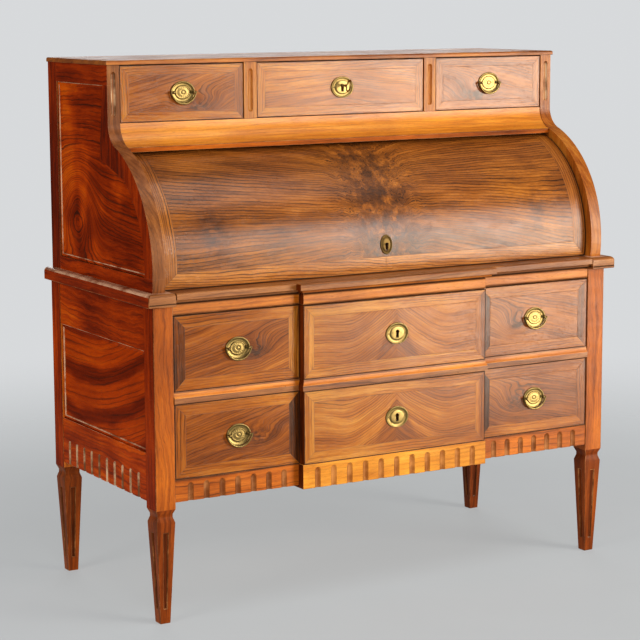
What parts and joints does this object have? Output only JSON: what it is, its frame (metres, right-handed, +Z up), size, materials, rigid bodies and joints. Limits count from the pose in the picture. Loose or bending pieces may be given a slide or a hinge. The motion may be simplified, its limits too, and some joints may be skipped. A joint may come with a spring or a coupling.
{
  "type": "cylinder desk",
  "caption": "Walnut cylinder desk on tapered legs, with a quarter-round lid geared to a sliding writing board, drawers below and above, and pigeonholes inside.",
  "frame": {"origin": "on the floor, under the middle of the desk's outline seen from above", "axes": "+X to the right of someone facing the front, +Y to the back, +Z up"},
  "size_m": [1.256, 0.584, 1.2282],
  "materials": {
    "walnut": "polished shellac",
    "figured_walnut": "polished shellac",
    "golden_walnut": "polished shellac",
    "oak": "bare, dry",
    "pine": "bare, dry",
    "brass": "aged",
    "iron": "dark, forged"
  },
  "bodies": {
    "carcass": {"corner_post_front_left": "walnut", "corner_post_front_right": "walnut", "corner_post_rear_left": "walnut", "corner_post_rear_right": "walnut", "lower_side_rails": "walnut", "lower_side_panels": "walnut", "lower_back_boards": "pine", "front_top_rail": "walnut", "drawer_dividing_rail": "walnut", "front_aprons": "walnut", "bottom_board": "pine", "long_drawer_runners": "oak", "waist_ledges": "walnut", "slide_bearers": "oak", "rear_deck": "oak", "upper_side_frame_left": "walnut", "upper_side_frame_right": "walnut", "upper_side_panels": "walnut", "upper_back_boards": "pine", "top_board": "walnut", "top_drawer_partitions": "walnut", "top_drawer_bed": "oak", "cove_frieze": "golden_walnut", "pigeonhole_case": "oak", "pivot_plates": "iron"},
    "cylinder": {"cylinder_shell": "figured_walnut", "cylinder_cheeks": "oak", "cylinder_levers": "iron", "cylinder_escutcheon": "brass", "cylinder_lock": "brass"},
    "writing_slide": {"writing_slide_board": "walnut", "slide_front_edge": "walnut", "slide_slot_plates": "iron"},
    "long_drawer_upper": {"long_drawer_upper_front": "figured_walnut", "long_drawer_upper_box": "oak", "long_drawer_upper_pull_plates": "brass", "long_drawer_upper_lock": "brass"},
    "long_drawer_lower": {"long_drawer_lower_front": "figured_walnut", "long_drawer_lower_box": "oak", "long_drawer_lower_pull_plates": "brass", "long_drawer_lower_lock": "brass"},
    "top_drawer_left": {"top_drawer_left_front": "figured_walnut", "top_drawer_left_box": "oak", "top_drawer_left_pull_plate": "brass"},
    "top_drawer_right": {"top_drawer_right_front": "figured_walnut", "top_drawer_right_box": "oak", "top_drawer_right_pull_plate": "brass"},
    "top_drawer_middle": {"top_drawer_middle_front": "figured_walnut", "top_drawer_middle_box": "oak", "top_drawer_middle_lock": "brass"},
    "long_drawer_upper_bail_left": {"long_drawer_upper_bail_left": "brass"},
    "long_drawer_upper_bail_right": {"long_drawer_upper_bail_right": "brass"},
    "long_drawer_lower_bail_left": {"long_drawer_lower_bail_left": "brass"},
    "long_drawer_lower_bail_right": {"long_drawer_lower_bail_right": "brass"},
    "top_drawer_left_bail": {"top_drawer_left_bail": "brass"},
    "top_drawer_right_bail": {"top_drawer_right_bail": "brass"},
    "key": {"key": "iron"},
    "lock_bolt": {"lock_bolt": "iron"},
    "small_drawer_left": {"small_drawer_left": "oak"},
    "small_drawer_right": {"small_drawer_right": "oak"}
  },
  "joints": [
    {"name": "cylinder_turn", "type": "hinge", "parent": "carcass", "child": "cylinder", "pos_m": [0, 0.035, 0.778], "axis": [-1, 0, 0], "range_deg": [0, 76]},
    {"name": "writing_slide_pull", "type": "slide", "parent": "carcass", "child": "writing_slide", "axis": [0, -1, 0], "range_m": [0, 0.185]},
    {"name": "long_drawer_upper_pull", "type": "slide", "parent": "carcass", "child": "long_drawer_upper", "axis": [0, -1, 0], "range_m": [0, 0.36]},
    {"name": "long_drawer_lower_pull", "type": "slide", "parent": "carcass", "child": "long_drawer_lower", "axis": [0, -1, 0], "range_m": [0, 0.36]},
    {"name": "top_drawer_left_pull", "type": "slide", "parent": "carcass", "child": "top_drawer_left", "axis": [0, -1, 0], "range_m": [0, 0.2]},
    {"name": "top_drawer_middle_pull", "type": "slide", "parent": "carcass", "child": "top_drawer_middle", "axis": [0, -1, 0], "range_m": [0, 0.2]},
    {"name": "top_drawer_right_pull", "type": "slide", "parent": "carcass", "child": "top_drawer_right", "axis": [0, -1, 0], "range_m": [0, 0.2]},
    {"name": "small_drawer_left_pull", "type": "slide", "parent": "carcass", "child": "small_drawer_left", "axis": [0, -1, 0], "range_m": [0, 0.11]},
    {"name": "small_drawer_right_pull", "type": "slide", "parent": "carcass", "child": "small_drawer_right", "axis": [0, -1, 0], "range_m": [0, 0.11]},
    {"name": "long_drawer_upper_bail_left_swing", "type": "hinge", "parent": "long_drawer_upper", "child": "long_drawer_upper_bail_left", "pos_m": [-0.40375, -0.259, 0.6025], "axis": [-1, 0, 0], "range_deg": [0, 100]},
    {"name": "long_drawer_upper_bail_right_swing", "type": "hinge", "parent": "long_drawer_upper", "child": "long_drawer_upper_bail_right", "pos_m": [0.40375, -0.259, 0.6025], "axis": [-1, 0, 0], "range_deg": [0, 100]},
    {"name": "long_drawer_lower_bail_left_swing", "type": "hinge", "parent": "long_drawer_lower", "child": "long_drawer_lower_bail_left", "pos_m": [-0.40375, -0.259, 0.4075], "axis": [-1, 0, 0], "range_deg": [0, 100]},
    {"name": "long_drawer_lower_bail_right_swing", "type": "hinge", "parent": "long_drawer_lower", "child": "long_drawer_lower_bail_right", "pos_m": [0.40375, -0.259, 0.4075], "axis": [-1, 0, 0], "range_deg": [0, 100]},
    {"name": "top_drawer_left_bail_swing", "type": "hinge", "parent": "top_drawer_left", "child": "top_drawer_left_bail", "pos_m": [-0.419, -0.03883, 1.15416], "axis": [-1, 0, 0], "range_deg": [0, 100]},
    {"name": "top_drawer_right_bail_swing", "type": "hinge", "parent": "top_drawer_right", "child": "top_drawer_right_bail", "pos_m": [0.419, -0.03883, 1.15416], "axis": [-1, 0, 0], "range_deg": [0, 100]},
    {"name": "key_turn", "type": "hinge", "parent": "top_drawer_middle", "child": "key", "pos_m": [0, -0.03183, 1.15821], "axis": [0, 1, 0], "range_deg": [-15, 165]},
    {"name": "lock_bolt_throw", "type": "slide", "parent": "top_drawer_middle", "child": "lock_bolt", "axis": [0, 0, 1], "range_m": [-0.0008, 0.0078]}
  ],
  "couplings": [
    {"joint": "writing_slide_pull", "follows": "cylinder_turn", "m_per_rad": 0.13945},
    {"joint": "lock_bolt_throw", "follows": "key_turn", "m_per_rad": 0.0026}
  ]
}
